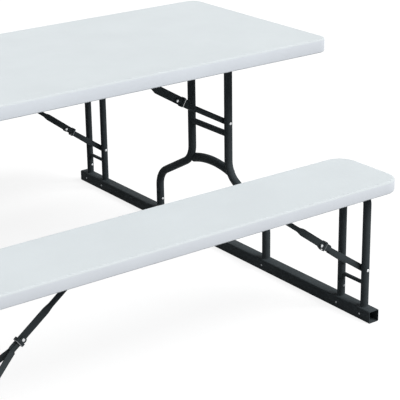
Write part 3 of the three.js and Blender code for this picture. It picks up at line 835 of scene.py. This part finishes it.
def brace_frame(end, unit):
    """Matrix of a brace: X down the brace from its anchor, Z square to it and upward."""
    anchor = Vector(joints[f"{end}_{unit}_brace_pivot"]["pos_m"])
    down = -Vector(joints[f"{end}_{unit}_ring_slide"]["axis"]).normalized()
    across = Y_AXIS * ENDS[end]
    up = down.cross(across)
    matrix = Matrix((down, across, up)).transposed().to_4x4()
    return Matrix.Translation(anchor) @ matrix


def strut_section(half_y, half_z, power):
    """Section of the strut: round for a power of one, flat-sided for a smaller power."""
    def bulge(share):
        return math.copysign(abs(share) ** power, share)

    return [(half_y * bulge(a), half_z * bulge(b)) for a, b in circle(1, ROUND)]


def strut_stations(sizes, knee):
    """Sections along the strut as (place, half width, half height, power), with eased changes of shape."""
    thin = STRUT_THIN / 2
    tall = sizes["tall"] / 2
    flat_start = knee.x - STRUT_BEHIND_KNEE
    end = knee.x + sizes["tail"]

    def eased(start, first, last):
        rows = []
        for step in range(BEND_STEPS + 1):
            share = step / BEND_STEPS
            ease = share * share * (3 - 2 * share)
            sizes_here = [a + (b - a) * ease for a, b in zip(first, last)]
            rows.append((start + STRUT_TAPER * share, *sizes_here))
        return rows

    round_shape = (STRUT_RADIUS, STRUT_RADIUS, 1)
    rows = [(-STRUT_HEAD, thin, STRUT_HEAD, FLAT_POWER)]
    rows += eased(STRUT_HEAD, (thin, STRUT_HEAD, FLAT_POWER), round_shape)
    rows += eased(flat_start - STRUT_TAPER, round_shape, (thin, tall, FLAT_POWER))
    for step in range(EDGE_STEPS + 1):
        angle = math.pi / 2 * step / (EDGE_STEPS + 1)
        shrink = STRUT_NOSE * (1 - math.cos(angle))
        rows.append((end - STRUT_NOSE * (1 - math.sin(angle)), thin, tall - shrink, FLAT_POWER))
    return rows


def brace_strut(end, unit, matrix, knee):
    """The upper link: a tube pressed flat at its anchor and round the knee, with a trunnion in its head."""
    bm = bmesh.new()
    rings = []
    for u, half_y, half_z, power in strut_stations(STRUTS[unit], knee):
        rings.append(ring(bm, [(u, a, b) for a, b in strut_section(half_y, half_z, power)]))
    loft(bm, rings)
    bm.faces.new(rings[0])
    bm.faces.new(rings[-1])
    bm.transform(matrix)
    body = f"{end}_{unit}_strut"
    piece(f"{end}_{unit}_strut_tube", bm, [coat], body, f"{end}_{unit}_brace_strut")
    bm = bmesh.new()
    half = TRUNNION_HALF
    trunnion = [(0, -half), (TRUNNION_RADIUS, -half), (TRUNNION_RADIUS, half), (0, half)]
    revolve(bm, trunnion, facing((0, 0, 0), Y_AXIS))
    bm.transform(matrix)
    piece(f"{end}_{unit}_trunnion", bm, [zinc], body)


def knee_eye(start, way, half):
    """Rows of a bar's end round the knee, as (station, reach down, reach up): an eye, then the stem."""
    rows = []
    for step in range(EYE_STEPS):
        angle = math.pi * (step / EYE_STEPS - 0.5)
        place = start + way * half * (1 + math.sin(angle))
        eye = half * math.cos(angle)
        past_the_pin = step > EYE_STEPS / 2
        down = max(eye, STEM_LOW) if past_the_pin else eye
        rows.append(((place, way), down, half if past_the_pin else eye))
    rows.append(((start + way * (half + STEM_LENGTH - STEM_RISE), way), STEM_LOW, half))
    return rows


def fork_bar(bm, stations):
    """A bent flat bar on edge: an eye round the knee, a stem cut away below, and a round end on the leg."""
    half = FORK_HEIGHT / 2
    rows = knee_eye(*stations[0], half)
    rows += [(station, half, half) for station in stations[1:-1]]
    last, last_way = stations[-1]
    for step in range(EDGE_STEPS + 1):
        angle = math.pi / 2 * step / EDGE_STEPS
        reach = half * math.cos(angle)
        rows.append(((last - last_way * half * (1 - math.sin(angle)), last_way), reach, reach))
    rings = []
    for station, down, up in rows:
        tall = max((up + down) / 2, FORK_EDGE)
        section = rounded_loop(tall, FORK_BAR / 2, FORK_CORNER, FORK_CORNER_STEPS)
        raised = [(a + (up - down) / 2, b) for a, b in section]
        rings.append(ring(bm, section_points(station, Z_AXIS, raised)))
    loft(bm, rings)
    bm.faces.new(rings[0])
    bm.faces.new(rings[-1])


def brace_fork(end, unit, matrix, knee, span, reach):
    """The lower link: two bent flat bars outside the strut, riveted at the knee and parted to both legs."""
    length = math.hypot(span - knee.x, knee.z)
    sag = math.atan2(-knee.z, span - knee.x)
    place = matrix @ Matrix.Translation(knee) @ Matrix.Rotation(-sag, 4, "Y")
    half = FORK_HEIGHT / 2
    stem_inner = STRUT_THIN / 2 + STEM_GAP
    stem = stem_inner + FORK_BAR / 2
    outer = reach - LEG_SIDE_GAP - FORK_BAR / 2
    bm = bmesh.new()
    for side in (-1, 1):
        points = [
            (-half, side * stem, 0),
            (STEM_LENGTH, side * stem, 0),
            (length - FORK_LANDING, side * outer, 0),
            (length + half, side * outer, 0),
        ]
        fork_bar(bm, bent_path(points, FORK_BEND))
    bm.transform(place)
    body = f"{end}_{unit}_fork"
    piece(f"{end}_{unit}_fork_bars", bm, [coat], body, f"{end}_{unit}_brace_fork")
    bm = bmesh.new()
    face = stem_inner + FORK_BAR
    pin = [(0, -face), (PIN_RADIUS, -face), (PIN_RADIUS, face), (0, face)]
    revolve(bm, pin, facing((0, 0, 0), Y_AXIS))
    for side in (-1, 1):
        revolve(bm, dome(RIVET_RADIUS, KNEE_HEAD_HEIGHT), facing((0, side * face, 0), (0, side, 0)))
        inner_face = side * (outer - FORK_BAR / 2)
        revolve(bm, dome(RIVET_RADIUS, RIVET_HEIGHT), facing((length, inner_face, 0), (0, -side, 0)))
    bm.transform(place)
    piece(f"{end}_{unit}_fork_rivets", bm, [zinc], body)


def lock_ring(end, unit, matrix):
    """A band with round corners that slides on the strut; the edge that rubs the fork is bare metal."""
    node = f"{end}_{unit}_lock_ring"
    inverse = matrix.inverted()
    local = [inverse @ v.co for v in frame["nodes"][node].data.vertices]
    low = Vector([min(p[axis] for p in local) for axis in range(3)])
    high = Vector([max(p[axis] for p in local) for axis in range(3)])
    middle = (low + high) / 2
    half = (high - low) / 2
    bm = bmesh.new()

    def across(u, inset):
        flat = rounded_loop(half.y - inset, half.z - inset, RING_CORNER - inset, EDGE_STEPS)
        return ring(bm, [(u, middle.y + a, middle.z + b) for a, b in flat])

    rings = [
        across(low.x, RING_EDGE),
        across(low.x + RING_EDGE, 0),
        across(high.x - RING_BARE, 0),
        across(high.x - RING_EDGE, 0),
        across(high.x, RING_EDGE),
        across(high.x, RING_WALL - RING_EDGE / 2),
        across(high.x - RING_EDGE / 2, RING_WALL),
        across(low.x + RING_EDGE / 2, RING_WALL),
        across(low.x, RING_WALL - RING_EDGE / 2),
    ]
    faces = loft(bm, rings, closed=True)
    per_ring = len(rings[0])
    first_bare, first_inside = 2, 6
    for face in faces[first_bare * per_ring:first_inside * per_ring]:
        face.material_index = 1
    bm.transform(matrix)
    # Painted shade: the benches' rings get the darker zinc on their bare edge, the table's ring bright zinc.
    bare = zinc if unit == "table" else dull_and_shaded_zinc
    return piece(f"{end}_{unit}_ring_band", bm, [coat, bare], f"{end}_{unit}_ring", node)


# Saddles and anchors under the tops

def screw(bm, place, direction):
    """A hexagon screw with a washer face, seen from below."""
    matrix = facing(place, direction)
    washer = [
        (0, 0),
        (SCREW_WASHER, 0),
        (SCREW_WASHER, SCREW_WASHER_RIM),
        (SCREW_WASHER_TOP, SCREW_WASHER_HEIGHT),
        (0, SCREW_WASHER_HEIGHT),
    ]
    revolve(bm, washer, matrix)
    head = [
        (0, 0),
        (SCREW_HEX, 0),
        (SCREW_HEX, SCREW_HEX_RIM),
        (SCREW_HEX_TOP, SCREW_HEIGHT),
        (0, SCREW_HEIGHT),
    ]
    revolve(bm, head, matrix, sides=HEXAGON)


def plate(bm, middle, half_x, half_y, thickness, corner):
    """A flat plate with round corners and slightly softened edges, hanging below a level."""
    soft = min(TUBE_CHAMFER, thickness / 3)
    levels = [(soft, 0), (0, -soft), (0, soft - thickness), (soft, -thickness)]
    rings = []
    for inset, drop in levels:
        flat = rounded_loop(half_x - inset, half_y - inset, corner - inset, EDGE_STEPS)
        rings.append(ring(bm, [(middle.x + a, middle.y + b, middle.z + drop) for a, b in flat]))
    loft(bm, rings)
    bm.faces.new(rings[0])
    bm.faces.new(rings[-1])


def pivot_saddle(end, unit, bar_radius):
    """A cast saddle with a bore for the pivot and a screwed flange to each side."""
    node = f"{end}_{unit}_pivot_saddle"
    low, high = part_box(node)
    pivot = Vector(joints[f"{end}_{unit}_leg_fold"]["pos_m"])
    outer = (high.x - low.x) / 2
    bm = bmesh.new()

    def outline(radius, top):
        points = []
        for i in range(ROUND):
            angle = math.tau * i / ROUND
            x, z = math.cos(angle), math.sin(angle)
            reach = radius
            if z > 0:
                reach = min(radius / max(abs(x), TINY), (top - pivot.z) / z)
            points.append((pivot.x + reach * x, pivot.z + reach * z))
        return points

    def across(y, points):
        return ring(bm, [(x, y, z) for x, z in points])

    bore = [(pivot.x + a, pivot.z + b) for a, b in circle(bar_radius + TUBE_CHAMFER, ROUND)]
    soft = outline(outer - SADDLE_EDGE, high.z)
    full = outline(outer, high.z)
    rings = [
        across(low.y, soft),
        across(low.y + SADDLE_EDGE, full),
        across(high.y - SADDLE_EDGE, full),
        across(high.y, soft),
        across(high.y, bore),
        across(low.y, bore),
    ]
    loft(bm, rings, closed=True)
    half_y = (high.y - low.y) / 2
    for side in (-1, 1):
        middle = Vector((pivot.x + side * (outer + FLANGE_REACH / 2 - FLANGE_CORNER), pivot.y, high.z))
        plate(bm, middle, FLANGE_REACH / 2 + FLANGE_CORNER, half_y, FLANGE_THICKNESS, FLANGE_CORNER)
    piece(f"{end}_{unit}_saddle_block", bm, [coat], unit, node)
    bm = bmesh.new()
    for side in (-1, 1):
        x = pivot.x + side * (outer + FLANGE_REACH / 2)
        for row in (-1, 1):
            place = (x, pivot.y + row * (half_y - SCREW_WASHER - SADDLE_EDGE), high.z - FLANGE_THICKNESS)
            screw(bm, place, (0, 0, -1))
    piece(f"{end}_{unit}_saddle_screws", bm, [zinc], unit)


def brace_anchor(end, unit):
    """A pressed bracket: a screwed base plate with two round-nosed cheeks for the trunnion."""
    node = f"{end}_{unit}_brace_anchor"
    low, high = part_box(node)
    centre = Vector(joints[f"{end}_{unit}_brace_pivot"]["pos_m"])
    half_x = (high.x - low.x) / 2
    half_y = (high.y - low.y) / 2
    bm = bmesh.new()
    plate(bm, Vector((centre.x, centre.y, high.z)), half_x, half_y, PLATE_THICKNESS, FLANGE_CORNER)
    turns = [math.pi * i / CORNER_STEPS for i in range(CORNER_STEPS + 1)]
    nose = [(CHEEK_RADIUS * math.cos(turn), -CHEEK_RADIUS * math.sin(turn)) for turn in turns]
    rise = high.z - PLATE_THICKNESS / 2 - centre.z
    outline = [(CHEEK_RADIUS, rise)] + nose + [(-CHEEK_RADIUS, rise)]
    for side in (-1, 1):
        faces = []
        for gap in (CHEEK_GAP, CHEEK_GAP + CHEEK_THICKNESS):
            y = centre.y + side * gap
            faces.append(ring(bm, [(centre.x + a, y, centre.z + b) for a, b in outline]))
        loft(bm, faces)
        for face in faces:
            bm.faces.new(face)
    piece(f"{end}_{unit}_anchor_bracket", bm, [coat], unit, node)
    bm = bmesh.new()
    for row in (-1, 1):
        for column in (-1, 1):
            x = centre.x + column * (half_x - SCREW_WASHER - SADDLE_EDGE)
            y = centre.y + row * (half_y - SCREW_WASHER - SADDLE_EDGE)
            screw(bm, (x, y, high.z - PLATE_THICKNESS), (0, 0, -1))
    piece(f"{end}_{unit}_anchor_screws", bm, [zinc], unit)


def knee_brace(end, unit, legs, radius):
    matrix = brace_frame(end, unit)
    knee = matrix.inverted() @ Vector(joints[f"{end}_{unit}_knee"]["pos_m"])
    pivot = Vector(joints[f"{end}_{unit}_leg_fold"]["pos_m"])
    span = (pivot.x - matrix.translation.x) / matrix.col[0][0]
    rivet = matrix @ Vector((span, 0, 0))
    half_gap = (max(legs) - min(legs)) / 2 - radius
    brace_strut(end, unit, matrix, knee)
    brace_fork(end, unit, matrix, knee, span, half_gap)
    lock_ring(end, unit, matrix)
    brace_anchor(end, unit)
    leg_rivets(end, unit, legs, radius, rivet)


# Stage, light and camera

def shown_white(tree):
    """One for rays that show the background itself: camera, mirror and glass rays."""
    path = tree.nodes.new("ShaderNodeLightPath")
    total = None
    for name in ("Is Camera Ray", "Is Glossy Ray", "Is Transmission Ray"):
        if total is None:
            total = path.outputs[name]
            continue
        add = tree.nodes.new("ShaderNodeMath")
        add.operation = "ADD"
        add.use_clamp = True
        tree.links.new(total, add.inputs[0])
        tree.links.new(path.outputs[name], add.inputs[1])
        total = add.outputs["Value"]
    return total


def white_world():
    world = bpy.data.worlds.new("studio")
    world.use_nodes = True
    tree = world.node_tree
    level = tree.nodes.new("ShaderNodeMapRange")
    level.inputs["To Min"].default_value = WORLD_LEVEL
    level.inputs["To Max"].default_value = 1.0
    tree.links.new(shown_white(tree), level.inputs["Value"])
    background = tree.nodes["Background"]
    background.inputs["Color"].default_value = (1, 1, 1, 1)
    tree.links.new(level.outputs["Result"], background.inputs["Strength"])
    bpy.context.scene.world = world


def grey(level):
    return (level, level, level, 1)


def floor_material():
    """White floor: plain diffuse to the light, and lifted to white with a faint shadow where it is seen."""
    material = bpy.data.materials.new("studio_floor")
    material.use_nodes = True
    tree = material.node_tree
    tree.nodes.remove(tree.nodes["Principled BSDF"])
    diffuse = tree.nodes.new("ShaderNodeBsdfDiffuse")
    diffuse.inputs["Color"].default_value = grey(FLOOR_TONE)
    glow = tree.nodes.new("ShaderNodeEmission")
    glow.inputs["Strength"].default_value = FLOOR_GLOW
    faint = tree.nodes.new("ShaderNodeBsdfDiffuse")
    faint.inputs["Color"].default_value = grey(FLOOR_SHADOW_SHARE)
    lifted = tree.nodes.new("ShaderNodeAddShader")
    choice = tree.nodes.new("ShaderNodeMixShader")
    output = tree.nodes["Material Output"]
    tree.links.new(glow.outputs["Emission"], lifted.inputs[0])
    tree.links.new(faint.outputs["BSDF"], lifted.inputs[1])
    tree.links.new(shown_white(tree), choice.inputs["Fac"])
    tree.links.new(diffuse.outputs["BSDF"], choice.inputs[1])
    tree.links.new(lifted.outputs["Shader"], choice.inputs[2])
    tree.links.new(choice.outputs["Shader"], output.inputs["Surface"])
    return material


def floor():
    mesh = bpy.data.meshes.new("studio_floor")
    half = FLOOR_SIDE / 2
    corners = [(-half, -half, 0), (half, -half, 0), (half, half, 0), (-half, half, 0)]
    mesh.from_pydata(corners, [], [(0, 1, 2, 3)])
    mesh.materials.append(floor_material())
    item = bpy.data.objects.new("studio_floor", mesh)
    bpy.context.scene.collection.objects.link(item)


def soft_sun():
    lamp = bpy.data.lights.new("soft_sun", "SUN")
    lamp.energy = SUN_LEVEL
    lamp.angle = SUN_SPREAD
    item = bpy.data.objects.new("soft_sun", lamp)
    item.rotation_euler = Vector(SUN_FROM).to_track_quat("Z", "Y").to_euler()
    bpy.context.scene.collection.objects.link(item)


def camera():
    lens = bpy.data.cameras.new("camera")
    lens.sensor_width = SENSOR
    lens.lens = FOCAL_PIXELS / IMAGE_SIDE * SENSOR
    lens.clip_end = 2 * FLOOR_SIDE
    item = bpy.data.objects.new("camera", lens)
    turn = Matrix.Rotation(-CAMERA_HEADING, 4, "Z")
    tip = Matrix.Rotation(math.pi / 2 + CAMERA_PITCH, 4, "X")
    roll = Matrix.Rotation(CAMERA_ROLL, 4, "Z")
    item.matrix_world = Matrix.Translation(CAMERA_PLACE) @ turn @ tip @ roll
    bpy.context.scene.collection.objects.link(item)
    bpy.context.scene.camera = item


# The whole object

camera()
white_world()
floor()
soft_sun()
bpy.context.scene.view_settings.view_transform = "Standard"

for unit in UNITS:
    moulded_top(unit)

for end in ENDS:
    foot_rail(end)
    uprights = table_legs(end)
    arch(end)
    pivot_bar(end)
    knee_brace(end, "table", uprights, TABLE_TUBE)
    pivot_saddle(end, "table", PIVOT_TUBE)
    for bench in BENCHES:
        hoop_legs = bench_hoop(end, bench)
        knee_brace(end, bench, hoop_legs, BENCH_TUBE)
        pivot_saddle(end, bench, BENCH_TUBE)
